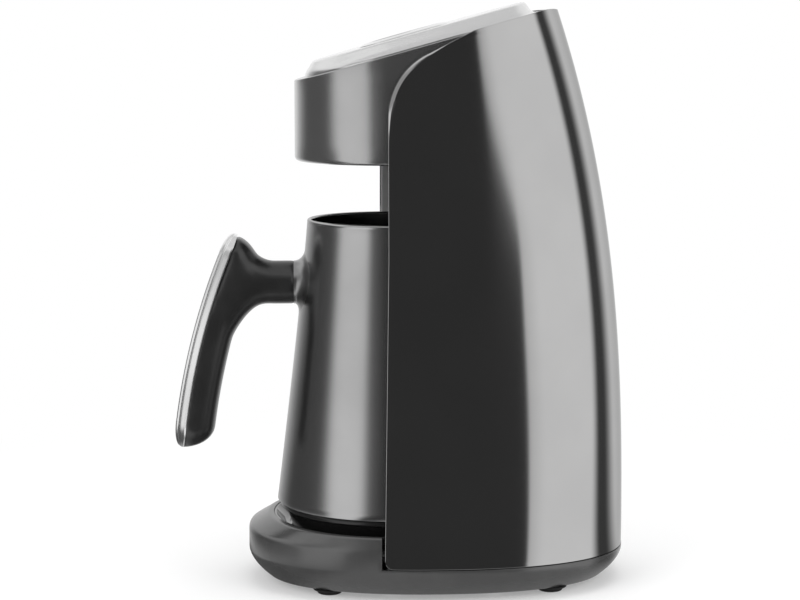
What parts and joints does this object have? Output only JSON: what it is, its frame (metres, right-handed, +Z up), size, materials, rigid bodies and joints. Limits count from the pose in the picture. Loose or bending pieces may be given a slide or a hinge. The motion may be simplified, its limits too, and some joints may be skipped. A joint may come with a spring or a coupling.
{
  "type": "electric turkish coffee maker",
  "caption": "Free-standing coffee maker: a steel-jacketed stand with a sloping control head over an oval base, and a lift-off handled pot that heats on a round plug.",
  "frame": {"origin": "on the ground, midway between the trim's foremost point and the jacket's back, and midway between the sides", "axes": "+Z up, -Y towards the pot's handle (the user's side), +X to the right of someone who looks along +Y"},
  "size_m": [0.108, 0.1903, 0.2432],
  "materials": {
    "base_plastic": "dark grey satin moulded plastic",
    "black_plastic": "black moulded plastic",
    "rubber": "black rubber",
    "screw_steel": "zinc plated steel",
    "gloss_black": "glossy black moulded plastic",
    "brass": "bare brass",
    "jacket_steel": "satin stainless sheet",
    "liner_plastic": "grey satin moulded plastic",
    "circuit_board": "green circuit board",
    "relay_case": "blue relay case",
    "transformer_core": "taped coil on a ferrite core",
    "terminal_plastic": "pale moulded plastic",
    "capacitor_sleeve": "dark sleeve",
    "head_finish": "dark metallic satin lacquer on moulded plastic",
    "smoked_lens": "smoked clear plastic",
    "cover_silver": "silver lacquered moulded plastic",
    "ring_bright": "bright plated moulded plastic",
    "plate_silver": "silver lacquered moulded plastic",
    "light_pipe": "milky clear plastic",
    "key_silver": "satin silver moulded plastic",
    "plunger_plastic": "white moulded plastic",
    "pot_steel": "satin dark stainless steel",
    "heater_aluminium": "bare aluminium",
    "element_sheath": "heat-browned steel sheath",
    "thermostat_case": "phenolic case",
    "skirt_black": "black moulded plastic",
    "ferrule_steel": "polished steel",
    "grip_black": "black satin moulded plastic",
    "trim_chrome": "bright plated trim"
  },
  "bodies": {
    "stand": {"base_tray": "base_plastic", "base_pan": "black_plastic", "rubber_feet": "rubber", "base_screws": "screw_steel", "recess_dish": "gloss_black", "plug_body": "black_plastic", "plug_contacts": "brass", "steel_jacket": "jacket_steel", "bay_liner": "liner_plastic", "outlet_insert": "black_plastic", "cord_gland": "rubber", "power_board": "circuit_board", "relay": "relay_case", "transformer": "transformer_core", "terminal_block": "terminal_plastic", "capacitor": "capacitor_sleeve", "board_screws": "screw_steel", "head_shell": "head_finish", "head_soffit": "black_plastic", "sensor_window": "smoked_lens", "sensor_board": "circuit_board", "control_board": "circuit_board", "switch_bodies": "black_plastic", "buzzer": "black_plastic", "control_screws": "screw_steel", "top_cover": "cover_silver", "control_ring": "ring_bright", "control_plate": "plate_silver", "light_pipes": "light_pipe"},
    "pot": {"pot_vessel": "pot_steel", "heater_plate": "heater_aluminium", "heating_element": "element_sheath", "pot_thermostat": "thermostat_case", "pot_skirt": "skirt_black", "pot_socket": "black_plastic", "socket_contacts": "brass", "skirt_screws": "screw_steel", "handle_ferrule": "ferrule_steel", "handle_stud": "screw_steel", "handle_grip": "grip_black", "handle_trim": "trim_chrome", "handle_screw": "screw_steel"},
    "key_small": {"button_small": "key_silver", "plunger_small": "plunger_plastic"},
    "key_large": {"button_large": "key_silver", "plunger_large": "plunger_plastic"}
  },
  "joints": [
    {"name": "pot_lift", "type": "slide", "parent": "stand", "child": "pot", "axis": [0, 0, 1], "range_m": [0, 0.018]},
    {"name": "key_small_press", "type": "slide", "parent": "stand", "child": "key_small", "axis": [0, 0.2689, -0.9632], "range_m": [0, 0.0015], "stiffness_N_per_m": 400, "springref_m": -0.001},
    {"name": "key_large_press", "type": "slide", "parent": "stand", "child": "key_large", "axis": [0, 0.2689, -0.9632], "range_m": [0, 0.0015], "stiffness_N_per_m": 400, "springref_m": -0.001}
  ]
}
